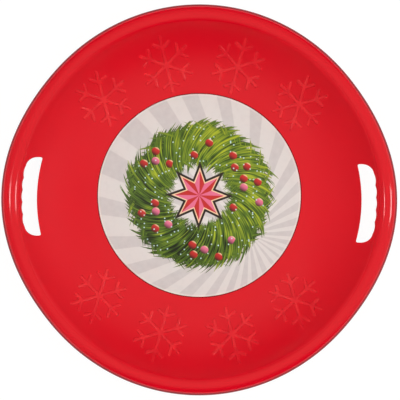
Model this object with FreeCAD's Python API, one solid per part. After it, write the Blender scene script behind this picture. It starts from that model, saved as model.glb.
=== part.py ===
"""Saucer sled in millimetres: +X through the hand slots, +Z up, underside of the floor at z = 0."""
import FreeCAD, Part
import math
import os
from FreeCAD import Vector

# Section of the dish from the centre outward, which gives 600 across the handles and a height of 62.1
wall = 2.5                      # moulded wall thickness
label_radius = 158.0
label_thickness = 0.3
label_offset = 7.0              # the label was stuck on this far from the centre, along +Y
label_clearance = 3.0           # flat floor left outside the label
bowl_radius = 114.57            # hollow curve from the floor up to the wall
wall_slope = 56.0               # slope of the straight wall, in degrees from the floor
wall_length = 4.0               # straight wall, measured along its slope
roll_radius = 13.0              # rounding from the wall over to the crest of the rim
shoulder_radius = 18.24         # rounding from the crest down to the outer edge
edge_slope = 68.0               # slope at which the outer edge ends, in degrees

# Bulges of the rim outside its circle: how far they reach, and the angle over which they fade
handle_swell = 7.0
handle_swell_spread = 40.0
end_swell = 3.2
end_swell_spread = 56.0

# Hand slots
slot_length = 120.0
slot_width = 19.3
slot_crest_gap = 14.7           # from the crest of the rim in to the slot's outer edge
slot_foot_drop = 14.0           # from the crest down to the foot of the wall around the slot
slot_bend_shift = 18.0          # the slot's long edges are arcs about a point this far off centre
slot_inner_corner = 2.0
slot_outer_corner = 17.0
grip_count = 5                  # finger recesses along the slot's outer edge
grip_depth = 1.2

# Raised snowflakes
flake_label_gap = 6.0           # from the label out to the nearest tip
flake_arm = 43.0
flake_fork = 25.4               # where the side branches leave an arm
flake_branch = 16.3
flake_line = 5.0                # width of the raised lines
flake_relief = 1.2              # height of the raised lines
flake_side_angle = 45.0         # place around the dish, counted from the handle
flake_end_angle = 75.0

# Moulding gate in the middle of the underside
gate_recess_radius = 9.0
gate_recess_depth = 0.6
gate_stub_radius = 2.2
gate_stub_height = 0.3

# Places that follow from the sizes above
slope = math.radians(wall_slope)
floor_radius = label_radius + label_offset + label_clearance
wall_foot_radius = floor_radius + bowl_radius * math.sin(slope)
wall_top_radius = wall_foot_radius + wall_length * math.cos(slope)
crest_radius = wall_top_radius + roll_radius * math.sin(slope)
crest_height = wall + (bowl_radius + roll_radius) * (1 - math.cos(slope)) + wall_length * math.sin(slope)
edge_end = math.radians(edge_slope)
slot_foot = crest_height - slot_foot_drop
slot_outer_reach = crest_radius + handle_swell - slot_crest_gap
slot_inner_reach = slot_outer_reach - slot_width
flake_ring_radius = label_radius + label_offset + flake_label_gap + flake_arm

# Each ring around the dish is a smooth closed curve through this many points, kept as four quarters
stations = 36
quarters = 4
smoothing_rounds = 60


def fade(angle, spread):
    """One at angle zero, falling smoothly to zero at the spread."""
    if abs(angle) >= spread:
        return 0.0
    return 0.5 * (1 + math.cos(math.pi * angle / spread))


def swell(angle):
    """Outward bulge of the rim at an angle in degrees."""
    from_handle = abs((angle + 90.0) % 180.0 - 90.0)
    from_end = 90.0 - from_handle
    at_handle = handle_swell * fade(from_handle, handle_swell_spread)
    return at_handle + end_swell * fade(from_end, end_swell_spread)


def ring_poles(radius, height, share):
    """Poles of the closed cubic curve that a profile point follows; share is its part of the swell."""
    points = []
    for step in range(stations):
        angle = 90.0 + 360.0 * (step - 1) / stations
        reach = radius + share * swell(angle)
        around = Vector(math.cos(math.radians(angle)), math.sin(math.radians(angle)), 0)
        points.append(around * reach + Vector(0, 0, height))
    poles = list(points)
    for turn in range(smoothing_rounds):
        poles = [(points[k] * 6 - poles[k - 1] - poles[(k + 1) % stations]) / 4 for k in range(stations)]
    return poles


ring_knots = [float(k) for k in range(stations + 1)]
ring_mults = [1] * (stations + 1)


def quarter_range(quarter):
    return stations * quarter / quarters, stations * (quarter + 1) / quarters


def ring_faces(profile):
    """Faces swept around the dish by two points (a straight side) or three weighted points (an arc)."""
    columns = [ring_poles(radius, height, share) for radius, height, share, weight in profile]
    poles = [[column[k] for column in columns] for k in range(stations)]
    weights = [[weight for radius, height, share, weight in profile]] * stations
    degree = len(profile) - 1
    faces = []
    for quarter in range(quarters):
        surface = Part.BSplineSurface()
        surface.buildFromPolesMultsKnots(poles, ring_mults, [degree + 1] * 2, ring_knots, [0.0, 1.0],
                                         True, False, 3, degree, weights)
        start, end = quarter_range(quarter)
        surface.segment(start, end, 0.0, 1.0)
        faces.append(surface.toShape())
    return faces


def disc_face(radius, height, share):
    edges = []
    for quarter in range(quarters):
        curve = Part.BSplineCurve()
        curve.buildFromPolesMultsKnots(ring_poles(radius, height, share), ring_mults, ring_knots, True, 3)
        start, end = quarter_range(quarter)
        curve.segment(start, end)
        edges.append(curve.toShape())
    return Part.Face(Part.Wire(edges))


def line_profile(start, end):
    return [(start[0], start[1], 1.0, 1.0), (end[0], end[1], 1.0, 1.0)]


def arc_profile(centre, radius, start_angle, end_angle):
    """Arc in the (radius, height) plane as three weighted points; angles in radians."""
    half = (end_angle - start_angle) / 2
    stops = [
        (radius, start_angle, 1.0),
        (radius / math.cos(half), start_angle + half, math.cos(half)),
        (radius, end_angle, 1.0),
    ]
    profile = []
    for reach, angle, weight in stops:
        profile.append((centre[0] + reach * math.cos(angle), centre[1] + reach * math.sin(angle), 1.0, weight))
    return profile


def bowl_profiles(offset):
    """Bowl and straight wall of a surface lying this far above the inside of the dish."""
    centre = (floor_radius, wall + bowl_radius)
    bowl = arc_profile(centre, bowl_radius - offset, -math.pi / 2, slope - math.pi / 2)
    radius, height, share, weight = bowl[0]
    bowl[0] = (radius, height, 0.0, weight)
    foot = bowl[-1]
    top = (foot[0] + wall_length * math.cos(slope), foot[1] + wall_length * math.sin(slope))
    return [bowl, line_profile(foot, top)]


def roll_profile(offset):
    centre = (crest_radius, crest_height - roll_radius)
    return arc_profile(centre, roll_radius + offset, math.pi / 2 + slope, math.pi / 2)


def shoulder_profile(offset):
    centre = (crest_radius, crest_height - shoulder_radius)
    return arc_profile(centre, shoulder_radius + offset, math.pi / 2, math.pi / 2 - edge_end)


def rim_profiles(offset):
    """Roll and shoulder of a surface lying this far above the inside of the dish."""
    return [roll_profile(offset), shoulder_profile(offset)]


def edge_profiles():
    """Half-round outer edge of the rim."""
    radius, height, share, weight = shoulder_profile(-wall / 2)[-1]
    return [
        arc_profile((radius, height), wall / 2, math.pi / 2 - edge_end, -edge_end),
        arc_profile((radius, height), wall / 2, -edge_end, -math.pi / 2 - edge_end),
    ]


def closed_solid(profiles, discs):
    """Solid bounded by the swept profiles and by flat discs given as (radius, height, share)."""
    faces = [disc_face(*disc) for disc in discs]
    for profile in profiles:
        faces += ring_faces(profile)
    shell = Part.Shell(faces)
    shell.sewShape()
    solid = Part.Solid(shell)
    if solid.Volume < 0:
        solid.reverse()
    return solid


def plain_dish():
    inside = bowl_profiles(0.0) + rim_profiles(0.0)
    outside = bowl_profiles(-wall) + rim_profiles(-wall)
    floor = [(floor_radius, wall, 0.0), (floor_radius, 0.0, 0.0)]
    return closed_solid(inside + edge_profiles() + outside, floor)


def space_under_roll():
    """Everything below the middle of the wall, as far out as the crest of the rim."""
    middle = -wall / 2
    roll = roll_profile(middle)
    drop = line_profile(roll[-1], (crest_radius, 0.0))
    floor = [(floor_radius, wall / 2, 0.0), (crest_radius, 0.0, 1.0)]
    return closed_solid(bowl_profiles(middle) + [roll, drop], floor)


def relief_layer():
    """Shell from the middle of the wall up to the top of the raised snowflakes."""
    upper = bowl_profiles(flake_relief)
    lower = bowl_profiles(-wall / 2)
    brim = line_profile(upper[-1][-1], lower[-1][-1])
    floor = [(floor_radius, wall + flake_relief, 0.0), (floor_radius, wall / 2, 0.0)]
    return closed_solid(upper + lower + [brim], floor)


def toward(centre, target, reach):
    """Point at a distance from the centre in the direction of the target."""
    return centre + (target - centre).normalize() * reach


def corner_arc(start, end, centre, radius):
    """Short arc about a centre between two points on it."""
    middle = toward(centre, (start + end) / 2, radius)
    return Part.Arc(start, middle, end).toShape()


def mirrored(point):
    return Vector(point.x, -point.y, point.z)


def prism(edges, bottom, top):
    face = Part.Face(Part.Wire(edges))
    face.translate(Vector(0, 0, bottom))
    return face.extrude(Vector(0, 0, top - bottom))


def slot_edges(grow):
    """Outline of the slot on the +X side in plan, every side moved outward by grow."""
    bend = Vector(slot_bend_shift, 0, 0)
    inner = slot_inner_reach - slot_bend_shift - grow
    outer = slot_outer_reach - slot_bend_shift + grow
    end = slot_length / 2 + grow
    inner_corner = slot_inner_corner + grow
    outer_corner = slot_outer_corner + grow
    inner_run = math.sqrt((inner + inner_corner) ** 2 - (end - inner_corner) ** 2)
    outer_run = math.sqrt((outer - outer_corner) ** 2 - (end - outer_corner) ** 2)
    inner_centre = bend + Vector(inner_run, end - inner_corner, 0)
    outer_centre = bend + Vector(outer_run, end - outer_corner, 0)
    inner_end = toward(bend, inner_centre, inner)
    inner_line = inner_centre + Vector(0, inner_corner, 0)
    outer_line = outer_centre + Vector(0, outer_corner, 0)
    outer_end = toward(bend, outer_centre, outer)

    edges = [
        Part.Arc(mirrored(inner_end), bend + Vector(inner, 0, 0), inner_end).toShape(),
        corner_arc(inner_end, inner_line, inner_centre, inner_corner),
        Part.makeLine(inner_line, outer_line),
        corner_arc(outer_line, outer_end, outer_centre, outer_corner),
    ]
    last = math.atan2(outer_end.y, outer_end.x - slot_bend_shift)
    step = 2 * last / grip_count
    start = outer_end
    for grip in range(grip_count):
        middle = last - (grip + 0.5) * step
        stop = last - (grip + 1) * step
        recess = bend + Vector(math.cos(middle), math.sin(middle), 0) * (outer + grip_depth)
        finish = bend + Vector(math.cos(stop), math.sin(stop), 0) * outer
        edges.append(Part.Arc(start, recess, finish).toShape())
        start = finish
    edges += [
        corner_arc(mirrored(outer_end), mirrored(outer_line), mirrored(outer_centre), outer_corner),
        Part.makeLine(mirrored(outer_line), mirrored(inner_line)),
        corner_arc(mirrored(inner_line), mirrored(inner_end), mirrored(inner_centre), inner_corner),
    ]
    return edges


def both_sides(shape):
    """The shape and its copy turned half way round the dish."""
    twin = shape.copy()
    twin.rotate(Vector(0, 0, 0), Vector(0, 0, 1), 180.0)
    return [shape, twin]


def flake_edges():
    """Outline of one snowflake about the origin, with an arm along +X."""
    half = flake_line / 2
    lean = math.radians(60.0)
    along = Vector(math.cos(lean), math.sin(lean), 0)
    across = Vector(-math.sin(lean), math.cos(lean), 0)
    up = Vector(0, 1, 0)
    branch_end = Vector(flake_fork, 0, 0) + along * (flake_branch - half)
    tip = Vector(flake_arm - half, 0, 0)
    valley = Vector(half / math.tan(lean / 2), half, 0)
    near = Vector(flake_fork - half * math.tan(lean / 2), half, 0)
    far = Vector(flake_fork + half / math.tan(lean / 2), half, 0)
    branch_near = branch_end + across * half
    branch_far = branch_end - across * half
    upper = [
        (valley, near),
        (near, branch_near),
        (branch_near, branch_end + along * half, branch_far),
        (branch_far, far),
        (far, tip + up * half),
    ]
    lower = [[mirrored(point) for point in points] for points in upper]
    arm = upper + [(tip + up * half, tip + Vector(half, 0, 0), tip - up * half)] + lower
    edges = []
    for turn in range(6):
        spin = FreeCAD.Rotation(Vector(0, 0, 1), 60.0 * turn)
        for points in arm:
            placed = [spin.multVec(point) for point in points]
            if len(placed) == 3:
                edges.append(Part.Arc(*placed).toShape())
            else:
                edges.append(Part.makeLine(*placed))
    return Part.__sortEdges__(edges)


def snowflakes():
    """Eight raised snowflakes on the bowl: two in one quarter and their mirror images."""
    layer = relief_layer()
    flat = prism(flake_edges(), 0.0, crest_height)
    quarter = []
    for angle, turn in ((flake_side_angle, 30.0), (flake_end_angle, 0.0)):
        around = Vector(math.cos(math.radians(angle)), math.sin(math.radians(angle)), 0)
        flake = flat.copy()
        flake.rotate(Vector(0, 0, 0), Vector(0, 0, 1), angle + turn)
        flake.translate(around * flake_ring_radius)
        quarter.append(flake.common(layer))
    half = quarter + [flake.mirror(Vector(0, 0, 0), Vector(1, 0, 0)) for flake in quarter]
    return half + [flake.mirror(Vector(0, 0, 0), Vector(0, 1, 0)) for flake in half]


def gate_recess():
    """Shallow round recess with the stub of the gate left standing in it."""
    stub_top = Vector(0, 0, gate_recess_depth - gate_stub_height)
    stub = Part.makeCylinder(gate_stub_radius, gate_stub_height, stub_top)
    return Part.makeCylinder(gate_recess_radius, gate_recess_depth).cut(stub)


def sled_dish():
    finger_wall = prism(slot_edges(wall), slot_foot, crest_height).common(space_under_roll())
    slot = prism(slot_edges(0.0), 0.0, crest_height)
    dish = plain_dish().fuse(both_sides(finger_wall))
    dish = dish.cut(both_sides(slot))
    dish = dish.fuse(snowflakes())
    return dish.cut(gate_recess())


def centre_label():
    return Part.makeCylinder(label_radius, label_thickness, Vector(0, label_offset, wall))


os.makedirs("parts", exist_ok=True)
sled_dish().exportStep("parts/sled_dish.step")
centre_label().exportStep("parts/centre_label.step")
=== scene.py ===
"""Saucer sled: a glossy moulded dish with hand slots and raised snowflakes, and a printed label."""
import math

import bmesh
import bpy
from bpy.props import FloatProperty, FloatVectorProperty, IntProperty, PointerProperty
from bpy.types import Operator, Panel, PropertyGroup
from mathutils import Matrix, Vector


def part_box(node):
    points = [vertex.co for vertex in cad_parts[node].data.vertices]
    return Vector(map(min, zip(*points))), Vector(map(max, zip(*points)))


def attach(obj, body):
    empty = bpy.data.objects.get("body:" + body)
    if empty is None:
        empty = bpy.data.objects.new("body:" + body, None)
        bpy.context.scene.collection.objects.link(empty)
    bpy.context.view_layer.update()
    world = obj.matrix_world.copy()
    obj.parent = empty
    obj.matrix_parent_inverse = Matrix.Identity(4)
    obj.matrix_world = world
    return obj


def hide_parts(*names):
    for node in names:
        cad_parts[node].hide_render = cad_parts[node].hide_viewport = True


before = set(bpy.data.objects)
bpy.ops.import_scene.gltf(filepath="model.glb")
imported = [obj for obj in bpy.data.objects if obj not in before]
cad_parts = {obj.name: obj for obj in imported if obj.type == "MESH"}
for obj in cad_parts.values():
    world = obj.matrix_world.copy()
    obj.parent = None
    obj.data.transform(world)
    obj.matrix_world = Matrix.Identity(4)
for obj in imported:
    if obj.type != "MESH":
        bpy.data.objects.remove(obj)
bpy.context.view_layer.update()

bl_info = {
    "name": "Saucer sled",
    "version": (1, 0, 0),
    "blender": (4, 5, 0),
    "location": "3D View > Sidebar > Sled",
    "description": "Moulds a round snow sled with hand slots, raised snowflakes and a printed label",
    "category": "Object",
}

label_low, label_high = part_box("centre_label")

# Rows, columns and steps of the meshes

BOWL_ROWS = 36
WALL_ROWS = 2
ROLL_ROWS = 14
TOP_ROW = BOWL_ROWS + WALL_ROWS + ROLL_ROWS - 1
SHOULDER_ROWS = 18
EDGE_ROWS = 8                   # round the cut outer edge
COLUMNS = 384
SLOT_COLUMNS = 40               # from the middle of a slot to its end
RELAX_COLUMNS = 14              # evened out again beyond the end of a slot
RELAX_ROWS = 12                 # and on its inner side
RELAX_TURNS = 80
FLAKE_STEP = 0.0025             # longest edge along a raised line
FLAKE_ROOT = 0.0004             # the lines reach this far into the wall
FLAKE_EDGE_ROWS = 3
LABEL_SEGMENTS = 256
SHARP_ANGLE = math.radians(42.0)

# Finish of the plastic: each zone fades in from its first place to its second

BOWL_ROUGHNESS = 0.38
WORN_ROUGHNESS = 0.60
RIM_ROUGHNESS = 0.08
WORN_SIDES = (0.13, 0.20)       # sideways from the middle
POLISHED_RIM = (0.2675, 0.2740)     # outward from the middle
# The next three places set the painted shade down the outer lip
OUTER_LIP = (0.280, 0.281)      # outward from the middle
SHADED_EDGE = (0.0572, 0.0556)  # down the outer lip
EDGE_SHADE = 0.66
# Painted shade and dirt in a fine dark line along the label's edge
LABEL_DIRT_AND_SHADE = (0.0020, 0.0008)   # inward to the edge of the label

# The print, in label radii

RAY_POINT = (0.50, -0.37)
RAY_COUNT = 26.0
WREATH_REACH = 0.50             # middle of the ring of needles
WREATH_WIDTH = 0.215            # half the width of that ring
BERRY_WIDTH = 0.15              # half the width of the ring that holds berries
NEEDLE_LAYERS = ((1.9, 0.0, 0.45), (-1.7, 1.0, 0.75), (1.2, 2.0, 1.0))      # sweep, height, light
STAR_TIP = 0.245
STAR_NOTCH = 0.125
MARGIN = (0.980, 0.988)

# Stage

FLOOR_RADIUS = 60.0
FLOOR_SEGMENTS = 128
FLOOR_GAP = 0.002               # the floor is open under the flat of the sled, and this far past it
BACKDROP_RADIUS = 15.0
CAMERA_PLACE = (0.0012, -0.0002, 1.75)
CAMERA_LENS = 101.0
CAMERA_ROLL = math.radians(1.25)
LAMPS = (                       # name, place, size, watts, whether gloss shows it
    ("overhead", (0.0, 0.0, 2.2), (24.0, 24.0), 1190.0, False),
    ("from_below", (0.0, 0.0, -3.0), (8.0, 8.0), 110.0, False),
    ("left_strip", (-2.54, 0.0, 5.44), (0.34, 1.00), 12.0, True),
    ("right_strip", (4.60, 0.0, 3.86), (0.93, 1.50), 36.0, True),
)


# Kinds of value that a user may change

def length(name, description, default):
    """A length in metres."""
    return FloatProperty(name=name, description=description, default=default, min=0.0, unit='LENGTH',
                         precision=4)


def turn(name, description, degrees):
    """An angle, given in degrees."""
    return FloatProperty(name=name, description=description, default=math.radians(degrees),
                         subtype='ANGLE')


def count(name, description, default):
    """A whole number from 1 up."""
    return IntProperty(name=name, description=description, default=default, min=1)


def paint(name, description, red, green, blue):
    """Colour given as the eye sees it on a screen, from 0 to 255, kept as linear light."""
    shares = [channel / 255 for channel in (red, green, blue)]
    linear = [s / 12.92 if s <= 0.04045 else ((s + 0.055) / 1.055) ** 2.4 for s in shares]
    return FloatVectorProperty(name=name, description=description, default=linear, size=3, min=0.0,
                               max=1.0, subtype='COLOR')


class SledSizes(PropertyGroup):
    """Sizes of the moulding and its label."""
    wall: length("Wall", "Moulded wall thickness", 0.0025)
    label_radius: length("Label radius", "Half the width of the label",
                         (label_high[0] - label_low[0]) / 2)
    label_offset: length("Label offset", "How far the label is stuck from the centre, along +Y",
                         (label_high[1] + label_low[1]) / 2)
    label_thickness: length("Label thickness", "Film and glue together", label_high[2] - label_low[2])
    label_clearance: length("Label clearance", "Flat floor left outside the label", 0.003)

    bowl_radius: length("Bowl radius", "Hollow curve from the floor up to the wall", 0.11457)
    wall_slope: turn("Wall slope", "Slope of the straight wall", 56.0)
    wall_length: length("Wall length", "Straight wall, measured along its slope", 0.004)
    roll_radius: length("Roll radius", "Rounding from the wall over to the crest of the rim", 0.013)
    shoulder_radius: length("Shoulder radius", "Rounding from the crest to the outer edge", 0.01824)
    edge_slope: turn("Edge slope", "Slope at which the outer edge ends", 68.0)
    handle_swell: length("Handle swell", "How far the rim bulges at the handles", 0.007)
    handle_swell_spread: turn("Handle swell spread", "Angle over which that bulge fades", 40.0)
    end_swell: length("End swell", "How far the rim bulges between the handles", 0.0032)
    end_swell_spread: turn("End swell spread", "Angle over which that bulge fades", 56.0)

    slot_length: length("Slot length", "Length of a hand slot", 0.120)
    slot_width: length("Slot width", "Width of a hand slot, seen from above", 0.0193)
    slot_crest_gap: length("Slot to crest", "From the crest of the rim in to the slot", 0.0147)
    slot_foot_drop: length("Slot foot", "From the crest down to the foot of the slot's wall", 0.014)
    slot_bend_shift: length("Slot bend shift", "The slot bends about a point so far off centre", 0.018)
    slot_inner_corner: length("Inner corner", "Corner radius on the side of the bowl", 0.002)
    slot_outer_corner: length("Outer corner", "Corner radius on the side of the rim", 0.017)
    slot_bead: length("Slot bead", "Least height of the edge turned down around the slot", 0.0012)
    slot_edge: length("Slot edge", "Rounding of the upper edge of the slot", 0.0007)
    grip_count: count("Finger recesses", "Recesses along the slot's outer edge", 5)
    grip_depth: length("Recess depth", "Depth of each finger recess", 0.0012)

    flake_label_gap: length("Snowflake gap", "From the label out to the nearest tip", 0.006)
    flake_arm: length("Snowflake arm", "Length of an arm", 0.043)
    flake_fork: length("Snowflake fork", "Where the side branches leave an arm", 0.0254)
    flake_branch: length("Snowflake branch", "Length of a side branch", 0.0163)
    flake_line: length("Snowflake line", "Width of the raised lines", 0.005)
    flake_relief: length("Snowflake relief", "Height of the raised lines", 0.0012)
    flake_edge: length("Snowflake edge", "Rounding along the raised lines", 0.0010)
    flake_side_angle: turn("Side snowflakes", "Place of the snowflakes beside the handles", 45.0)
    flake_end_angle: turn("End snowflakes", "Place of the snowflakes between the handles", 75.0)

    gate_radius: length("Gate recess", "Radius of the recess under the floor", 0.009)
    gate_depth: length("Gate depth", "Depth of that recess", 0.0006)
    stub_radius: length("Gate stub", "Radius of the stub left by the moulding gate", 0.0022)
    stub_height: length("Stub height", "Height of that stub", 0.0003)


class SledColours(PropertyGroup):
    """Colours of the plastic and of the print."""
    red: paint("Red", "Colour of the moulded plastic", 220, 9, 33)
    red_deep: paint("Deep red", "Cloudy darker tone inside the plastic", 214, 7, 31)
    # Painted sheen: the raised snowflakes are coloured paler than the plastic around them
    relief: paint("Relief", "Paler, rubbed plastic of the raised snowflakes", 229, 38, 48)
    relief_deep: paint("Deep relief", "Cloudy darker tone on the snowflakes", 219, 26, 42)
    # Painted shade down the outer lip, and painted shade with dirt along the label's edge, share this
    # dark colour
    shade_and_grime: paint("Shade and grime", "Fine dark lines along the label and the trimmed outer edge", 104, 10, 22)
    paper: paint("Print ground", "Light rays of the label", 222, 216, 217)
    ray: paint("Rays", "Darker rays of the label", 204, 197, 200)
    margin: paint("Margin", "Line inside the label's cut edge", 246, 232, 226)
    needle_light: paint("Light needles", "Tips of the printed fir needles", 178, 188, 46)
    needle: paint("Needles", "Printed fir needles", 88, 118, 36)
    needle_dark: paint("Dark needles", "Shade between the printed needles", 14, 22, 9)
    berry: paint("Berries", "Printed berries", 196, 44, 44)
    berry_pink: paint("Pink", "Pink berries and the light halves of the star", 226, 112, 148)
    cream: paint("Cream", "Glints on the berries and the edge of the star", 240, 206, 170)
    frost: paint("Frost", "Flecks of snow on the needles", 196, 222, 236)
    shadow: paint("Shadow", "Darkest print, around the star", 40, 26, 24)


# The dish as a surface

class DishSection:
    """Places that follow from the sizes, and the surfaces of the dish above any point of the plan."""

    def __init__(self, sizes):
        self.sizes = sizes
        slope = sizes.wall_slope
        self.floor_radius = sizes.label_radius + sizes.label_offset + sizes.label_clearance
        wall_top = self.floor_radius + sizes.bowl_radius * math.sin(slope)
        wall_top += sizes.wall_length * math.cos(slope)
        self.crest_radius = wall_top + sizes.roll_radius * math.sin(slope)
        rounding = (sizes.bowl_radius + sizes.roll_radius) * (1 - math.cos(slope))
        self.crest_height = sizes.wall + rounding + sizes.wall_length * math.sin(slope)
        self.slot_foot = self.crest_height - sizes.slot_foot_drop
        self.slot_outer_reach = self.crest_radius + sizes.handle_swell - sizes.slot_crest_gap
        self.slot_inner_reach = self.slot_outer_reach - sizes.slot_width

    def swell(self, angle):
        """Outward bulge of the rim in a direction."""
        from_handle = abs((angle + math.pi / 2) % math.pi - math.pi / 2)
        from_end = math.pi / 2 - from_handle
        at_handle = self.sizes.handle_swell * fade(from_handle, self.sizes.handle_swell_spread)
        return at_handle + self.sizes.end_swell * fade(from_end, self.sizes.end_swell_spread)

    def bowl_share(self, lean):
        """Part of the swell that the hollow curve takes where it leans this much."""
        slope = self.sizes.wall_slope
        last = (1 - math.cos(lean)) / (1 - math.cos(slope))
        middle = (math.sin(lean) - last * math.sin(slope)) / math.tan(slope / 2)
        return middle + last

    def profile(self, drop):
        """Rows of radius, height and share of the swell, out to the edge, so far below the inside."""
        sizes = self.sizes
        slope = sizes.wall_slope
        bowl = sizes.bowl_radius + drop
        rows = []
        for k in range(BOWL_ROWS + 1):
            lean = slope * k / BOWL_ROWS
            height = sizes.wall + sizes.bowl_radius - bowl * math.cos(lean)
            rows.append((self.floor_radius + bowl * math.sin(lean), height, self.bowl_share(lean)))
        foot = rows[-1]
        for k in range(1, WALL_ROWS + 1):
            run = sizes.wall_length * k / WALL_ROWS
            rows.append((foot[0] + run * math.cos(slope), foot[1] + run * math.sin(slope), 1.0))
        roll_centre = self.crest_height - sizes.roll_radius
        for k in range(1, ROLL_ROWS + 1):
            lean = slope * (1 - k / ROLL_ROWS)
            roll = sizes.roll_radius - drop
            rows.append((self.crest_radius - roll * math.sin(lean),
                         roll_centre + roll * math.cos(lean), 1.0))
        shoulder_centre = self.crest_height - sizes.shoulder_radius
        for k in range(1, SHOULDER_ROWS + 1):
            lean = sizes.edge_slope * k / SHOULDER_ROWS
            shoulder = sizes.shoulder_radius - drop
            rows.append((self.crest_radius + shoulder * math.sin(lean),
                         shoulder_centre + shoulder * math.cos(lean), 1.0))
        return rows

    def height(self, x, y, drop):
        """Height of the bowl, wall or roll over a point of the plan, this far below the inside."""
        sizes = self.sizes
        slope = sizes.wall_slope
        bowl = sizes.bowl_radius + drop
        swell = self.swell(math.atan2(y, x))
        reach = math.hypot(x, y)
        radius = reach
        for guess in range(6):
            lean = math.asin(min(max((radius - self.floor_radius) / bowl, 0.0), math.sin(slope)))
            radius = reach - self.bowl_share(lean) * swell
        floor = sizes.wall - drop
        if radius <= self.floor_radius:
            return floor
        foot_radius = self.floor_radius + bowl * math.sin(slope)
        if radius <= foot_radius:
            return floor + bowl * (1 - math.cos(lean))
        roll = sizes.roll_radius - drop
        from_crest = self.crest_radius - radius
        if from_crest >= roll * math.sin(slope):
            return floor + bowl * (1 - math.cos(slope)) + (radius - foot_radius) * math.tan(slope)
        return self.crest_height - sizes.roll_radius + math.sqrt(roll * roll - from_crest * from_crest)


def fade(angle, spread):
    """One at angle zero, falling smoothly to zero at the spread."""
    if abs(angle) >= spread:
        return 0.0
    return 0.5 * (1 + math.cos(math.pi * angle / spread))


# The hand slot's outline in plan

def arc_piece(centre, radius, start, end):
    """Length of an arc and a function that gives the point at a share of it."""
    def point(share):
        angle = start + (end - start) * share
        return centre + Vector((math.cos(angle), math.sin(angle))) * radius
    return abs(end - start) * radius, point


def line_piece(start, end):
    """Length of a straight line and a function that gives the point at a share of it."""
    return (end - start).length, lambda share: start.lerp(end, share)


def place_along(pieces, share):
    """Point at a share of the way along a chain of pieces."""
    walk = share * sum(piece[0] for piece in pieces)
    for run, point in pieces[:-1]:
        if walk <= run:
            return point(walk / run)
        walk -= run
    run, point = pieces[-1]
    return point(min(walk / run, 1.0))


def slot_sides(section, grow):
    """The +X slot's inner side, upper end and outer side, grown outward, run towards +Y or +X."""
    sizes = section.sizes
    bend = Vector((sizes.slot_bend_shift, 0.0))
    inner = section.slot_inner_reach - sizes.slot_bend_shift - grow
    outer = section.slot_outer_reach - sizes.slot_bend_shift + grow
    end = sizes.slot_length / 2 + grow
    inner_corner = sizes.slot_inner_corner + grow
    outer_corner = sizes.slot_outer_corner + grow
    inner_run = math.sqrt((inner + inner_corner) ** 2 - (end - inner_corner) ** 2)
    outer_run = math.sqrt((outer - outer_corner) ** 2 - (end - outer_corner) ** 2)
    inner_turn = math.atan2(end - inner_corner, inner_run)
    outer_turn = math.atan2(end - outer_corner, outer_run)
    inner_centre = bend + Vector((inner_run, end - inner_corner))
    outer_centre = bend + Vector((outer_run, end - outer_corner))
    quarter = math.pi / 2

    inner_middle = (inner_turn + math.pi + quarter) / 2
    outer_middle = (outer_turn + quarter) / 2
    lower_inner = Vector((inner_centre.x, -inner_centre.y))
    lower_outer = Vector((outer_centre.x, -outer_centre.y))
    inner_side = [
        arc_piece(lower_inner, inner_corner, -inner_middle, -inner_turn - math.pi),
        arc_piece(bend, inner, -inner_turn, inner_turn),
        arc_piece(inner_centre, inner_corner, inner_turn + math.pi, inner_middle),
    ]
    upper_end = [
        arc_piece(inner_centre, inner_corner, inner_middle, quarter),
        line_piece(inner_centre + Vector((0.0, inner_corner)),
                   outer_centre + Vector((0.0, outer_corner))),
        arc_piece(outer_centre, outer_corner, quarter, outer_middle),
    ]
    outer_side = [arc_piece(lower_outer, outer_corner, -outer_middle, -outer_turn)]
    step = 2 * outer_turn / sizes.grip_count
    chord = outer * math.sin(step / 2)
    rise = outer + sizes.grip_depth - outer * math.cos(step / 2)
    grip = (chord * chord + rise * rise) / (2 * rise)
    half = math.asin(chord / grip)
    for k in range(sizes.grip_count):
        middle = (k + 0.5) * step - outer_turn
        toward = Vector((math.cos(middle), math.sin(middle)))
        centre = bend + toward * (outer + sizes.grip_depth - grip)
        outer_side.append(arc_piece(centre, grip, middle - half, middle + half))
    outer_side.append(arc_piece(outer_centre, outer_corner, outer_turn, outer_middle))
    return inner_side, upper_end, outer_side


def slot_place(sides, row, column, first, last):
    """Place in plan of a vertex on the slot's edge, from its row and its column from the middle."""
    inner_side, upper_end, outer_side = sides
    across = 0.5 + 0.5 * column / SLOT_COLUMNS
    if row == first:
        return place_along(inner_side, across)
    if row == last:
        return place_along(outer_side, across)
    place = place_along(upper_end, (row - first) / (last - first))
    return place if column > 0 else Vector((place.x, -place.y))


# Pieces and finishes

def finish_piece(name, mesh, material, slot, *nodes):
    """Turns a bmesh into a piece that rides on the sled, in place of any solids named."""
    bmesh.ops.recalc_face_normals(mesh, faces=mesh.faces)
    data = bpy.data.meshes.new(name)
    mesh.to_mesh(data)
    mesh.free()
    data.shade_smooth()
    data.set_sharp_from_angle(angle=SHARP_ANGLE)
    data.materials.append(material)
    piece = bpy.data.objects.new(name, data)
    bpy.context.scene.collection.objects.link(piece)
    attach(piece, "root")
    if nodes:
        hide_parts(*nodes)


class Value:
    """A number that changes over a surface: arithmetic on it adds Math nodes."""

    def __init__(self, finish, socket):
        self.finish = finish
        self.socket = socket

    def math(self, operation, *others):
        """The result of a Math node that takes this number first."""
        sockets = {k + 1: other for k, other in enumerate(others)}
        sockets[0] = self
        return self.finish.node("ShaderNodeMath", {"operation": operation}, sockets)[0]

    def swapped(self, operation, other):
        """The result of a Math node that takes this number second."""
        return self.finish.node("ShaderNodeMath", {"operation": operation}, {0: other, 1: self})[0]

    def __add__(self, other):
        return self.math('ADD', other)

    def __radd__(self, other):
        return self.swapped('ADD', other)

    def __sub__(self, other):
        return self.math('SUBTRACT', other)

    def __rsub__(self, other):
        return self.swapped('SUBTRACT', other)

    def __mul__(self, other):
        return self.math('MULTIPLY', other)

    def __rmul__(self, other):
        return self.swapped('MULTIPLY', other)

    def __truediv__(self, other):
        return self.math('DIVIDE', other)

    def __rtruediv__(self, other):
        return self.swapped('DIVIDE', other)


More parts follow.
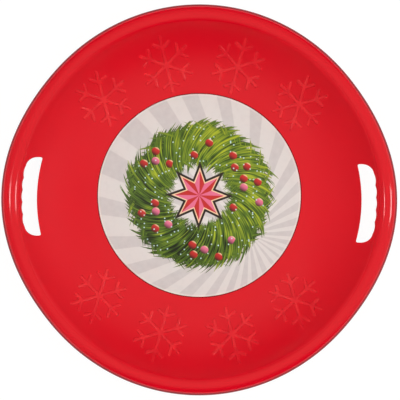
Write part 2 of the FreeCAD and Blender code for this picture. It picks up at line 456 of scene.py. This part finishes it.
class Outputs:
    """A node's outputs, by name or number."""

    def __init__(self, finish, node):
        self.finish = finish
        self.node = node

    def __getitem__(self, key):
        return Value(self.finish, self.node.outputs[key])


class Finish:
    """Node tree of a material or of the world."""

    def __init__(self, tree):
        self.tree = tree
        self.tree.nodes.clear()

    def node(self, kind, settings=None, sockets=None):
        """Adds a node: its settings first, then the values or links of its sockets."""
        node = self.tree.nodes.new(kind)
        for name, setting in (settings or {}).items():
            if name == "stops":
                ramp = node.color_ramp
                while len(ramp.elements) < len(setting):
                    ramp.elements.new(1.0)
                for element, (position, colour) in zip(ramp.elements, setting):
                    element.position = position
                    element.color = (*colour, 1.0)
            else:
                setattr(node, name, setting)
        for key, value in (sockets or {}).items():
            socket = node.inputs[key]
            if isinstance(value, Value):
                self.tree.links.new(value.socket, socket)
            elif socket.type == 'RGBA':
                socket.default_value = (*value, 1.0)
            else:
                socket.default_value = value
        return Outputs(self, node)

    def mix(self, share, first, second):
        """Colour between two others."""
        sockets = {0: share, 6: first, 7: second}
        return self.node("ShaderNodeMix", {"data_type": 'RGBA'}, sockets)[2]

    def smooth(self, value, start, end):
        """Smooth step from 0 at start to 1 at end."""
        sockets = {"Value": value, "From Min": start, "From Max": end}
        return self.node("ShaderNodeMapRange", {"interpolation_type": 'SMOOTHSTEP'}, sockets)["Result"]

    def noise(self, place, scale, detail):
        """Soft random pattern between 0 and 1."""
        sockets = {"Vector": place, "Scale": scale, "Detail": detail}
        return self.node("ShaderNodeTexNoise", {}, sockets)["Fac"]

    def bump(self, strength, distance, height):
        """Normal of a surface that is rippled by a height."""
        sockets = {"Strength": strength, "Distance": distance, "Height": height}
        return self.node("ShaderNodeBump", {}, sockets)["Normal"]


def new_finish(name):
    """A new material and the node tree to fill."""
    material = bpy.data.materials.new(name)
    material.use_nodes = True
    return material, Finish(material.node_tree)


def moulded_red(name):
    """Cloudy, faintly rippled plastic: a satin bowl worn dull at the sides and a polished rim, with
    painted shade down the outer lip and painted shade and dirt along the label's edge.
    """
    sizes = bpy.context.scene.sled_sizes
    colours = bpy.context.scene.sled_colours
    material, finish = new_finish(name)
    place = finish.node("ShaderNodeTexCoord")["Object"]
    split = finish.node("ShaderNodeSeparateXYZ", {}, {"Vector": place})
    cloud = finish.noise(place, 9.0, 3.0)
    ripple = finish.noise(place, 22.0, 1.0)
    skin = finish.noise(place, 900.0, 2.0)
    smudge = finish.smooth(finish.noise(place, 14.0, 4.0), 0.45, 0.75)
    bump = finish.bump(0.25, 0.0004, ripple + skin * 0.02)
    x, y, z = split["X"], split["Y"], split["Z"]
    reach = (x * x + y * y).math('SQRT')
    rim = finish.smooth(reach, *POLISHED_RIM)
    worn = finish.smooth(x.math('ABSOLUTE'), *WORN_SIDES)
    bowl = BOWL_ROUGHNESS + worn * (WORN_ROUGHNESS - BOWL_ROUGHNESS)
    from_label = y - sizes.label_offset
    edge = (x * x + from_label * from_label).math('SQRT') - sizes.label_radius
    # Painted shade and dirt: a fine dark ring on the floor just outside the label
    label_dirt_and_shade = finish.smooth(edge, *LABEL_DIRT_AND_SHADE) * z.math('GREATER_THAN', sizes.wall / 2)
    red = finish.mix(cloud, colours.red_deep, colours.red)
    shader = finish.node("ShaderNodeBsdfPrincipled", {}, {
        "Base Color": red,
        "Roughness": bowl + rim * (RIM_ROUGHNESS - bowl) + 0.04 * smudge,
        "Normal": bump,
    })["BSDF"]
    # Dark shader without reflection, for the painted shade and dirt lines
    dull = finish.node("ShaderNodeBsdfPrincipled", {}, {
        "Base Color": colours.shade_and_grime,
        "Roughness": 0.9,
        "Specular IOR Level": 0.0,
    })["BSDF"]
    # Painted shade: a dark band down the steep outer lip, where little light falls
    trimmed = EDGE_SHADE * finish.smooth(z, *SHADED_EDGE) * finish.smooth(reach, *OUTER_LIP)
    # Both painted lines, the shade on the lip and the shade and dirt at the label, use the dark shader
    line = label_dirt_and_shade.math('MAXIMUM', trimmed)
    surface = finish.node("ShaderNodeMixShader", {}, {0: line, 1: shader, 2: dull})["Shader"]
    finish.node("ShaderNodeOutputMaterial", {}, {"Surface": surface})
    return material


def sheen_painted_red(name):
    """The same plastic on the raised lines, coloured paler as a painted sheen, and duller on top."""
    colours = bpy.context.scene.sled_colours
    material, finish = new_finish(name)
    place = finish.node("ShaderNodeTexCoord")["Object"]
    cloud = finish.noise(place, 60.0, 3.0)
    skin = finish.noise(place, 900.0, 2.0)
    bump = finish.bump(0.15, 0.0002, skin)
    shader = finish.node("ShaderNodeBsdfPrincipled", {}, {
        # Painted sheen: paler base colour on the raised lines
        "Base Color": finish.mix(finish.smooth(cloud, 0.3, 0.7), colours.relief_deep, colours.relief),
        "Roughness": 0.16 + 0.06 * skin,
        "Normal": bump,
    })["BSDF"]
    finish.node("ShaderNodeOutputMaterial", {}, {"Surface": shader})
    return material


def printed_film(name):
    """Satin printed film: a sunburst, a wreath of fir twigs with berries, and a star in the middle."""
    sizes = bpy.context.scene.sled_sizes
    material, finish = new_finish(name)
    place = finish.node("ShaderNodeTexCoord")["Object"]
    across = 1 / sizes.label_radius
    centred = finish.node("ShaderNodeMapping", {}, {
        "Vector": place,
        "Location": (0.0, -sizes.label_offset * across, 0.0),
        "Scale": (across, across, 0.0),
    })["Vector"]
    print_place = PrintPlace(finish, centred)
    ink = sunburst(finish, print_place)
    ink = fir_wreath(finish, print_place, ink)
    ink = berries(finish, print_place, ink)
    ink = star(finish, print_place, ink)
    ink = border(finish, print_place, ink)
    grain = finish.noise(place, 700.0, 2.0)
    bump = finish.bump(0.1, 0.0002, grain)
    shader = finish.node("ShaderNodeBsdfPrincipled", {}, {
        "Base Color": ink,
        "Roughness": 0.38 + 0.06 * grain,
        "Normal": bump,
    })["BSDF"]
    finish.node("ShaderNodeOutputMaterial", {}, {"Surface": shader})
    return material


class PrintPlace:
    """A place on the label, counted in label radii from its centre."""

    def __init__(self, finish, vector):
        split = finish.node("ShaderNodeSeparateXYZ", {}, {"Vector": vector})
        x, y = split["X"], split["Y"]
        self.finish = finish
        self.vector = vector
        self.x = x
        self.y = y
        self.reach = (x * x + y * y).math('SQRT')
        self.angle = y.math('ARCTAN2', x)

    def swirl(self, twist, around, outward):
        """Coordinates that stretch a pattern outward and sweep it to one side."""
        swept = self.angle + self.reach * twist
        return self.finish.node("ShaderNodeCombineXYZ", {}, {
            "X": swept.math('COSINE') * around,
            "Y": swept.math('SINE') * around,
            "Z": self.reach * outward,
        })["Vector"]


def sunburst(finish, place):
    """Uneven rays from a point below and to the right, faintly mottled."""
    colours = bpy.context.scene.sled_colours
    x = place.x - RAY_POINT[0]
    y = place.y - RAY_POINT[1]
    angle = y.math('ARCTAN2', x)
    uneven = 0.30 * (angle * 3.0 + 0.6).math('SINE') + 0.22 * (angle * 5.0 + 2.1).math('SINE')
    wave = (angle * RAY_COUNT + uneven * 2.0).math('SINE')
    soft = 0.05 / ((x * x + y * y).math('SQRT') + 0.05)
    dark = finish.smooth(wave + uneven * 0.8, -0.1 - soft, 0.1 + soft)
    mottle = finish.noise(place.vector, 16.0, 5.0)
    dark = dark * 0.85 + (mottle - 0.5) * 0.9
    clamped = dark.math('MAXIMUM', 0.0).math('MINIMUM', 1.0)
    return finish.mix(clamped, colours.paper, colours.ray)


def fir_wreath(finish, place, ground):
    """A ring of fir needles that sweep both ways, light at the upper right and dark between."""
    colours = bpy.context.scene.sled_colours
    inward = WREATH_WIDTH - (place.reach - WREATH_REACH).math('ABSOLUTE')
    clump = finish.noise(place.vector, 7.0, 1.0)
    ink = ground
    for twist, tuft, depth in NEEDLE_LAYERS:
        lines = finish.noise(place.swirl(twist, 30.0 + tuft * 2.0, 5.0), 1.0, 2.0)
        spread = finish.noise(place.swirl(twist, 8.0 + tuft, 2.0), 1.0, 1.0)
        edge = inward + (lines - 0.5) * 0.30 + (spread - 0.5) * 0.16 - tuft * 0.022
        mask = finish.smooth(edge, 0.0, 0.012)
        upper_right = place.x * 0.20 + place.y * 0.22
        lit = lines * 1.5 - 0.55 + (clump - 0.5) * 0.7 + upper_right + inward * 0.5
        lit = lit * depth + (lines - 0.5) * 0.9 + 0.12
        green = finish.node("ShaderNodeValToRGB", {"stops": [
            (0.0, colours.needle_dark),
            (0.45, colours.needle),
            (0.95, colours.needle_light),
        ]}, {"Fac": lit})["Color"]
        ink = finish.mix(mask, ink, green)
    return ink


def berries(finish, place, ground):
    """Whole round berries and flecks of snow scattered over the needles."""
    colours = bpy.context.scene.sled_colours
    inward = BERRY_WIDTH - (place.reach - WREATH_REACH).math('ABSOLUTE')
    cells = finish.node("ShaderNodeTexVoronoi", {"voronoi_dimensions": '2D'}, {
        "Vector": place.vector, "Scale": 8.0, "Randomness": 0.75})
    chance = finish.node("ShaderNodeSeparateColor", {}, {"Color": cells["Color"]})
    round_edge = finish.smooth(cells["Distance"], 0.34, 0.30)
    chosen = chance["Red"].math('GREATER_THAN', 0.62)
    offset = finish.node("ShaderNodeVectorMath", {"operation": 'SUBTRACT'}, {
        0: place.vector, 1: cells["Position"]})["Vector"]
    lean = finish.node("ShaderNodeSeparateXYZ", {}, {"Vector": offset})
    middle = finish.node("ShaderNodeVectorMath", {"operation": 'LENGTH'}, {
        0: cells["Position"]})["Value"]
    on_ring = (middle - WREATH_REACH).math('ABSOLUTE').math('LESS_THAN', BERRY_WIDTH)
    lit = 0.5 + (lean["X"] * 0.6 + lean["Y"]) * 11.0
    skin = finish.mix(chance["Green"].math('GREATER_THAN', 0.66), colours.berry, colours.berry_pink)
    skin = finish.mix(finish.smooth(lit, 0.75, -0.1), skin, colours.shadow)
    skin = finish.mix(finish.smooth(lit, 0.78, 0.98), skin, colours.cream)
    ink = finish.mix(round_edge * chosen * on_ring, ground, skin)
    flecks = finish.node("ShaderNodeTexVoronoi", {"voronoi_dimensions": '2D'}, {
        "Vector": place.vector, "Scale": 30.0})
    scarce = finish.node("ShaderNodeSeparateColor", {}, {"Color": flecks["Color"]})["Red"]
    fleck = finish.smooth(flecks["Distance"], 0.26, 0.16) * scarce.math('GREATER_THAN', 0.86)
    return finish.mix(fleck * finish.smooth(inward, -0.06, 0.0), ink, colours.frost)


def star(finish, place, ground):
    """Eight-pointed star of two-toned diamonds, with a cream and a dark edge."""
    colours = bpy.context.scene.sled_colours
    eighth = math.pi / 4
    turned = place.angle / eighth + 8.5
    petal = turned.math('FRACT') - 0.5
    folded = petal.math('ABSOLUTE') * eighth
    along = place.reach * folded.math('COSINE')
    side = place.reach * folded.math('SINE')
    notch_x = STAR_NOTCH * math.cos(eighth / 2)
    notch_y = STAR_NOTCH * math.sin(eighth / 2)
    run = math.hypot(STAR_TIP - notch_x, notch_y)
    inside = (STAR_TIP - along) * (notch_y / run) - side * ((STAR_TIP - notch_x) / run)
    tone = finish.mix(petal.math('GREATER_THAN', 0.0), colours.berry, colours.berry_pink)
    ink = finish.mix(finish.smooth(inside, -0.034, -0.030), ground, colours.shadow)
    ink = finish.mix(finish.smooth(inside, -0.012, -0.009), ink, colours.cream)
    return finish.mix(finish.smooth(inside, -0.001, 0.001), ink, tone)


def border(finish, place, ground):
    """Plain light line that runs round the print just inside its cut edge."""
    colours = bpy.context.scene.sled_colours
    line = finish.smooth(place.reach, *MARGIN)
    return finish.mix(line * 0.4, ground, colours.margin)


# Operators

class SLED_OT_dish(Operator):
    """Mould the dish with its rolled rim and its two hand slots"""
    bl_idname = "sled.dish"
    bl_label = "Dish"

    def execute(self, context):
        section = DishSection(context.scene.sled_sizes)
        mesh = spin_dish(section)
        for side in (1, -1):
            cut_slot(mesh, section, side)
        finish_piece("dish_moulding", mesh, moulded_red("red_plastic"), "red_plastic", "sled_dish")
        return {'FINISHED'}


def spin_dish(section):
    """The whole wall of the dish in rings of vertices that know their row, column and swell."""
    sizes = section.sizes
    inside = section.profile(0.0)
    outside = section.profile(sizes.wall)
    edge_radius, edge_height, whole = section.profile(sizes.wall / 2)[-1]
    edge = []
    for k in range(1, EDGE_ROWS):
        lean = sizes.edge_slope + math.pi * k / EDGE_ROWS
        reach = edge_radius + sizes.wall / 2 * math.sin(lean)
        edge.append((reach, edge_height + sizes.wall / 2 * math.cos(lean), whole))
    chamfer = sizes.gate_depth / 3
    rings = [
        (sizes.gate_radius + chamfer, 0.0, 0.0),
        (sizes.gate_radius, chamfer, 0.0),
        (sizes.gate_radius, sizes.gate_depth, 0.0),
        (sizes.stub_radius + chamfer, sizes.gate_depth, 0.0),
        (sizes.stub_radius, sizes.gate_depth - sizes.stub_height, 0.0),
    ]
    rows = [(section.floor_radius * 0.6, sizes.wall, 0.0)] + inside + edge + outside[::-1] + rings

    mesh = bmesh.new()
    row_layer = mesh.verts.layers.int.new("row")
    column_layer = mesh.verts.layers.int.new("column")
    share_layer = mesh.verts.layers.float.new("share")
    line = []
    for k, (radius, height, share) in enumerate(rows):
        vertex = mesh.verts.new((radius, 0.0, height))
        vertex[row_layer] = k
        vertex[share_layer] = share
        line.append(vertex)
    edges = [mesh.edges.new(pair) for pair in zip(line, line[1:])]
    bmesh.ops.spin(mesh, geom=line + edges, cent=(0, 0, 0), axis=(0, 0, 1), angle=2 * math.pi,
                   steps=COLUMNS, use_merge=True)
    rims = [edge for edge in mesh.edges if edge.is_boundary]
    bmesh.ops.edgeloop_fill(mesh, edges=rims)

    step = 2 * math.pi / COLUMNS
    slot_end = math.asin(sizes.slot_length / 2 / section.slot_outer_reach)
    quarter = COLUMNS // 4
    wide_step = (math.pi / 2 - slot_end) / (quarter - SLOT_COLUMNS)
    for vertex in mesh.verts:
        place = vertex.co
        column = round(math.atan2(place.y, place.x) / step)
        vertex[column_layer] = column
        half_turn = round(column / (2 * quarter))
        from_handle = column - half_turn * 2 * quarter
        angle = abs(from_handle) * slot_end / SLOT_COLUMNS
        if abs(from_handle) > SLOT_COLUMNS:
            angle = slot_end + (abs(from_handle) - SLOT_COLUMNS) * wide_step
        angle = half_turn * math.pi + math.copysign(angle, from_handle)
        reach = math.hypot(place.x, place.y) + vertex[share_layer] * section.swell(angle)
        vertex.co = Vector((reach * math.cos(angle), reach * math.sin(angle), place.z))
    return mesh


def nearest_row(section, drop, reach):
    """Row of the profile whose radius at the handle comes nearest to a reach."""
    swell = section.sizes.handle_swell
    rows = section.profile(drop)[:TOP_ROW + 1]
    gaps = [abs(radius + share * swell - reach) for radius, height, share in rows]
    return gaps.index(min(gaps))


def handle_column(column, side):
    """Column counted from the middle of the handle on this side."""
    if side > 0:
        return column
    column += COLUMNS // 2
    return column if column <= COLUMNS // 2 else column - COLUMNS


def open_hole(mesh, section, side, drop, grow, first, last):
    """Takes a block of faces out of one surface of the dish and draws its edge to the slot."""
    row_layer = mesh.verts.layers.int["row"]
    column_layer = mesh.verts.layers.int["column"]
    profile_rows = len(section.profile(0.0))
    sides = slot_sides(section, grow)

    def row_of(vertex):
        row = vertex[row_layer] - 1
        if drop == 0.0:
            return row
        return 2 * profile_rows + EDGE_ROWS - 2 - row

    def column_of(vertex):
        return handle_column(vertex[column_layer], side)

    reach = SLOT_COLUMNS + RELAX_COLUMNS
    patch = [v for v in mesh.verts if -1 < row_of(v) <= TOP_ROW and abs(column_of(v)) <= reach]
    inside = {v for v in patch if first <= row_of(v) <= last and abs(column_of(v)) <= SLOT_COLUMNS}
    block = {face for v in inside for face in v.link_faces if all(u in inside for u in face.verts)}
    bmesh.ops.delete(mesh, geom=list(block), context='FACES')

    patch = [v for v in patch if v.is_valid]
    rim = [v for v in patch if v in inside]
    for vertex in rim:
        place = slot_place(sides, row_of(vertex), column_of(vertex), first, last) * side
        vertex.co.x = place.x
        vertex.co.y = place.y
    held = set(rim)
    around = []
    for vertex in patch:
        near = first - RELAX_ROWS <= row_of(vertex) < TOP_ROW and abs(column_of(vertex)) < reach
        if near and vertex not in held:
            around.append(vertex)
    for turn_number in range(RELAX_TURNS):
        bmesh.ops.smooth_vert(mesh, verts=around, factor=0.5, use_axis_x=True, use_axis_y=True,
                              use_axis_z=False)
    for vertex in around + rim:
        vertex.co.z = section.height(vertex.co.x, vertex.co.y, drop)
    return [e for e in mesh.edges if e.is_boundary and e.verts[0] in held and e.verts[1] in held]


def cut_slot(mesh, section, side):
    """One hand slot: a hole in both surfaces, with its edge turned down and rounded."""
    sizes = section.sizes

    def foot_height(place):
        """Foot of the turned-down edge, under the wall and no higher than the slot's own foot."""
        under_wall = section.height(place.x, place.y, sizes.wall) - sizes.slot_bead
        return min(under_wall, section.slot_foot)

    first = nearest_row(section, 0.0, section.slot_inner_reach)
    last = nearest_row(section, 0.0, section.slot_outer_reach)
    upper = open_hole(mesh, section, side, 0.0, 0.0, first, last)
    lower = open_hole(mesh, section, side, sizes.wall, sizes.wall, first, last)

    grown = slot_sides(section, sizes.wall)
    row_layer = mesh.verts.layers.int["row"]
    column_layer = mesh.verts.layers.int["column"]

    turned_down = bmesh.ops.extrude_edge_only(mesh, edges=upper)["geom"]
    skirt = [part for part in turned_down if isinstance(part, bmesh.types.BMEdge) and part.is_boundary]
    for vertex in {vertex for edge in skirt for vertex in edge.verts}:
        vertex.co.z = foot_height(vertex.co)
    turned_out = bmesh.ops.extrude_edge_only(mesh, edges=skirt)["geom"]
    sole = [part for part in turned_out if isinstance(part, bmesh.types.BMEdge) and part.is_boundary]
    for vertex in {vertex for edge in sole for vertex in edge.verts}:
        column = handle_column(vertex[column_layer], side)
        place = slot_place(grown, vertex[row_layer] - 1, column, first, last) * side
        vertex.co = (place.x, place.y, foot_height(place))
    bmesh.ops.bridge_loops(mesh, edges=sole + lower)
    bmesh.ops.bevel(mesh, geom=upper, offset=sizes.slot_edge, offset_type='OFFSET', affect='EDGES',
                    segments=3, profile=0.5, material=-1, clamp_overlap=True)
    bmesh.ops.bevel(mesh, geom=skirt + sole, offset=sizes.slot_edge / 2, offset_type='OFFSET',
                    affect='EDGES', segments=2, profile=0.5, material=-1, clamp_overlap=True)


class SLED_OT_snowflakes(Operator):
    """Raise the eight snowflakes on the bowl"""
    bl_idname = "sled.snowflakes"
    bl_label = "Snowflakes"

    def execute(self, context):
        sizes = context.scene.sled_sizes
        section = DishSection(sizes)
        mesh = bmesh.new()
        kinds = ((sizes.flake_side_angle, math.radians(30.0)), (sizes.flake_end_angle, 0.0))
        for angle, turned in kinds:
            for ahead in (1, -1):
                for across in (1, -1):
                    place = angle if ahead > 0 else math.pi - angle
                    raise_flake(mesh, section, place * across, place * across + turned)
        finish_piece("snowflake_relief", mesh, sheen_painted_red("red_relief_sheen"), "red_plastic")
        return {'FINISHED'}


def raise_flake(mesh, section, angle, turned):
    """One snowflake: half an arm is mirrored, spun, filled, raised in rounded steps and laid down."""
    sizes = section.sizes
    flake = bmesh.new()
    half = sizes.flake_line / 2
    lean = math.radians(60.0)
    along = Vector((math.cos(lean), math.sin(lean), 0.0))
    across = Vector((-math.sin(lean), math.cos(lean), 0.0))
    fork = Vector((sizes.flake_fork, 0.0, 0.0))
    branch_end = fork + along * sizes.flake_branch
    points = [
        Vector((half / math.tan(lean / 2), half, 0.0)),
        Vector((sizes.flake_fork - half * math.tan(lean / 2), half, 0.0)),
        branch_end + across * half,
        branch_end - across * half,
        Vector((sizes.flake_fork + half / math.tan(lean / 2), half, 0.0)),
        Vector((sizes.flake_arm, half, 0.0)),
        Vector((sizes.flake_arm, 0.0, 0.0)),
    ]
    line = [flake.verts.new(point) for point in points]
    for pair in zip(line, line[1:]):
        flake.edges.new(pair)
    bmesh.ops.mirror(flake, geom=flake.verts[:] + flake.edges[:], matrix=Matrix(), axis='Y',
                     merge_dist=-1.0)
    bmesh.ops.spin(flake, geom=flake.verts[:] + flake.edges[:], cent=(0, 0, 0), axis=(0, 0, 1),
                   angle=2 * math.pi, steps=6, use_duplicate=True)
    bmesh.ops.remove_doubles(flake, verts=flake.verts[:], dist=1e-6)
    ends = [v for v in flake.verts if is_square_end(v, half)]
    bmesh.ops.bevel(flake, geom=ends, offset=half * 0.95, offset_type='OFFSET', affect='VERTICES',
                    segments=4, profile=0.5, material=-1)
    by_cuts = {}
    for edge in flake.edges:
        by_cuts.setdefault(math.ceil(edge.calc_length() / FLAKE_STEP) - 1, []).append(edge)
    for cuts, edges in by_cuts.items():
        if cuts > 0:
            bmesh.ops.subdivide_edges(flake, edges=edges, cuts=cuts)
    bmesh.ops.triangle_fill(flake, edges=flake.edges[:], use_beauty=True, use_dissolve=False)
    bmesh.ops.recalc_face_normals(flake, faces=flake.faces[:])
    top = lift_faces(flake, FLAKE_ROOT + sizes.flake_relief - sizes.flake_edge)
    turn_step = math.pi / 2 / FLAKE_EDGE_ROWS
    for k in range(FLAKE_EDGE_ROWS):
        inward = sizes.flake_edge * (math.cos(k * turn_step) - math.cos((k + 1) * turn_step))
        rise = sizes.flake_edge * (math.sin((k + 1) * turn_step) - math.sin(k * turn_step))
        bmesh.ops.inset_region(flake, faces=top, thickness=inward, use_even_offset=True)
        bmesh.ops.translate(flake, verts=list({v for f in top for v in f.verts}), vec=(0, 0, rise))

    reach = sizes.label_radius + sizes.label_offset + sizes.flake_label_gap + sizes.flake_arm
    centre = Matrix.Translation((reach * math.cos(angle), reach * math.sin(angle), 0.0))
    bmesh.ops.transform(flake, matrix=centre @ Matrix.Rotation(turned, 4, 'Z'), verts=flake.verts[:])
    for vertex in flake.verts:
        x, y, lift = vertex.co
        vertex.co.z = section.height(x, y, 0.0) - FLAKE_ROOT + lift
    data = bpy.data.meshes.new("flake")
    flake.to_mesh(data)
    flake.free()
    mesh.from_mesh(data)
    bpy.data.meshes.remove(data)


def lift_faces(mesh, rise):
    """Extrudes all faces of a flat mesh upward, and gives the raised ones."""
    lifted = bmesh.ops.extrude_face_region(mesh, geom=mesh.faces[:])["geom"]
    top = [part for part in lifted if isinstance(part, bmesh.types.BMFace)]
    bmesh.ops.translate(mesh, verts=list({v for f in top for v in f.verts}), vec=(0, 0, rise))
    return top


def is_square_end(vertex, half):
    """True at the two corners of a line's end, where a short edge meets a long one."""
    runs = [edge.calc_length() for edge in vertex.link_edges]
    return min(runs) < half * 2.2 and max(runs) > half * 2.5


class SLED_OT_label(Operator):
    """Stick the printed label on the floor"""
    bl_idname = "sled.label"
    bl_label = "Label"

    def execute(self, context):
        sizes = context.scene.sled_sizes
        mesh = bmesh.new()
        bmesh.ops.create_circle(mesh, cap_ends=True, radius=sizes.label_radius, segments=LABEL_SEGMENTS,
                                matrix=Matrix.Translation((0, sizes.label_offset, sizes.wall)))
        top = lift_faces(mesh, sizes.label_thickness)
        cut_edge = list({edge for face in top for edge in face.edges})
        bmesh.ops.bevel(mesh, geom=cut_edge, offset=sizes.label_thickness / 2, offset_type='OFFSET',
                        affect='EDGES', segments=2, profile=0.5, material=-1)
        finish_piece("printed_label", mesh, printed_film("label_film"), "label_film", "centre_label")
        return {'FINISHED'}


class SLED_OT_stage(Operator):
    """Set the floor, the backdrop, the lamps and the camera"""
    bl_idname = "sled.stage"
    bl_label = "Stage"

    def execute(self, context):
        scene = context.scene
        scene.view_settings.view_transform = 'Standard'
        lay_floor()
        raise_backdrop()
        light_world(scene)
        for lamp in LAMPS:
            hang_lamp(*lamp)
        lens = bpy.data.cameras.new("camera")
        lens.sensor_width = 36.0
        lens.lens = CAMERA_LENS
        camera = bpy.data.objects.new("camera", lens)
        camera.location = CAMERA_PLACE
        camera.rotation_euler = (0.0, 0.0, CAMERA_ROLL)
        scene.collection.objects.link(camera)
        scene.camera = camera
        return {'FINISHED'}


def set_stage(name, mesh):
    """Turns a bmesh into a part of the stage, and gives the object and its finish."""
    data = bpy.data.meshes.new(name)
    mesh.to_mesh(data)
    mesh.free()
    piece = bpy.data.objects.new(name, data)
    bpy.context.scene.collection.objects.link(piece)
    material, finish = new_finish("pale_" + name)
    data.materials.append(material)
    return piece, finish


def lay_floor():
    """Wide pale floor, which looks white, takes the sled's shadow and is clear from below."""
    mesh = bmesh.new()
    under_flat = DishSection(bpy.context.scene.sled_sizes).floor_radius + FLOOR_GAP
    for radius in (under_flat, FLOOR_RADIUS):
        bmesh.ops.create_circle(mesh, radius=radius, segments=FLOOR_SEGMENTS)
    bmesh.ops.bridge_loops(mesh, edges=mesh.edges[:])
    for face in mesh.faces:
        face.normal_update()
        if face.normal.z < 0.0:
            face.normal_flip()
    finish = set_stage("floor", mesh)[1]
    path = finish.node("ShaderNodeLightPath")
    seen = path["Is Camera Ray"].math('MAXIMUM', path["Is Glossy Ray"])
    seen = seen.math('MAXIMUM', path["Is Transmission Ray"])
    pale = finish.node("ShaderNodeBsdfDiffuse", {}, {"Color": (0.8, 0.8, 0.8)})["BSDF"]
    soft = finish.node("ShaderNodeBsdfDiffuse", {}, {"Color": (0.08, 0.08, 0.08)})["BSDF"]
    glow = finish.node("ShaderNodeEmission", {}, {
        "Color": (1.0, 1.0, 1.0), "Strength": 0.94})["Emission"]
    white = finish.node("ShaderNodeAddShader", {}, {0: soft, 1: glow})["Shader"]
    surface = finish.node("ShaderNodeMixShader", {}, {0: seen, 1: pale, 2: white})["Shader"]
    clear = finish.node("ShaderNodeBsdfTransparent")["BSDF"]
    under = finish.node("ShaderNodeNewGeometry")["Backfacing"]
    surface = finish.node("ShaderNodeMixShader", {}, {0: under, 1: surface, 2: clear})["Shader"]
    finish.node("ShaderNodeOutputMaterial", {}, {"Surface": surface})


def raise_backdrop():
    """Pale dome all round, which lights nothing and shows only behind the sled."""
    mesh = bmesh.new()
    bmesh.ops.create_icosphere(mesh, subdivisions=5, radius=BACKDROP_RADIUS)
    dome, finish = set_stage("backdrop", mesh)
    dome.visible_diffuse = False
    dome.visible_glossy = False
    dome.visible_transmission = False
    dome.visible_volume_scatter = False
    dome.visible_shadow = False
    dome.active_material.cycles.emission_sampling = 'NONE'
    glow = finish.node("ShaderNodeEmission", {}, {
        "Color": (1.0, 1.0, 1.0), "Strength": 1.0})["Emission"]
    finish.node("ShaderNodeOutputMaterial", {}, {"Surface": glow})


def light_world(scene):
    """Soft warm room: brightest overhead and to the right, dark beyond the sled's near edge."""
    world = bpy.data.worlds.new("room")
    world.use_nodes = True
    scene.world = world
    finish = Finish(world.node_tree)
    toward = finish.node("ShaderNodeTexCoord")["Generated"]
    split = finish.node("ShaderNodeSeparateXYZ", {}, {"Vector": toward})
    x, y, z = split["X"], split["Y"], split["Z"]
    zenith = finish.smooth(z, 0.75, 0.97)
    right = finish.smooth(x, 0.25, 0.75)
    left = finish.smooth(x, -0.05, -0.45)
    back = finish.smooth(y, 0.45, 0.75)
    low = finish.smooth(z, 0.60, 0.24)
    dark = finish.smooth(x * 0.174 - y * 0.985, 0.54, 0.84)
    level = 0.32 + zenith * 0.14 + right * 0.14 - left * 0.05 - back * 0.06
    light = 0.02 + level * (1.0 - dark) * (1.0 - back * low)
    background = finish.node("ShaderNodeBackground", {}, {
        "Color": (1.0, 0.96, 0.76), "Strength": light})
    finish.node("ShaderNodeOutputWorld", {}, {"Surface": background["Background"]})


def hang_lamp(name, place, size, power, in_gloss):
    """A rectangular lamp that points at the middle of the floor."""
    lamp = bpy.data.lights.new(name, 'AREA')
    lamp.shape = 'RECTANGLE'
    lamp.size, lamp.size_y = size
    lamp.energy = power
    hung = bpy.data.objects.new(name, lamp)
    hung.location = place
    hung.rotation_euler = (-Vector(place)).to_track_quat('-Z', 'Y').to_euler()
    hung.visible_glossy = in_gloss
    lamp.cycles.use_multiple_importance_sampling = in_gloss
    bpy.context.scene.collection.objects.link(hung)


class SLED_PT_panel(Panel):
    """Sizes, colours and pieces of the sled"""
    bl_idname = "SLED_PT_panel"
    bl_label = "Saucer sled"
    bl_space_type = 'VIEW_3D'
    bl_region_type = 'UI'
    bl_category = "Sled"

    def draw(self, context):
        layout = self.layout
        for group in (context.scene.sled_sizes, context.scene.sled_colours):
            box = layout.box()
            for name in group.__annotations__:
                box.prop(group, name)
        for operator in OPERATORS:
            layout.operator(operator.bl_idname)


OPERATORS = (SLED_OT_dish, SLED_OT_snowflakes, SLED_OT_label, SLED_OT_stage)
CLASSES = (SledSizes, SledColours) + OPERATORS + (SLED_PT_panel,)


def register():
    """Makes the values, the operators and the panel known."""
    for kind in CLASSES:
        bpy.utils.register_class(kind)
    bpy.types.Scene.sled_sizes = PointerProperty(type=SledSizes)
    bpy.types.Scene.sled_colours = PointerProperty(type=SledColours)


def unregister():
    """Takes them away again."""
    del bpy.types.Scene.sled_colours
    del bpy.types.Scene.sled_sizes
    for kind in reversed(CLASSES):
        bpy.utils.unregister_class(kind)


def main():
    """Builds the sled and its stage."""
    register()
    bpy.ops.sled.dish()
    bpy.ops.sled.snowflakes()
    bpy.ops.sled.label()
    bpy.ops.sled.stage()


if __name__ == "__main__":
    main()
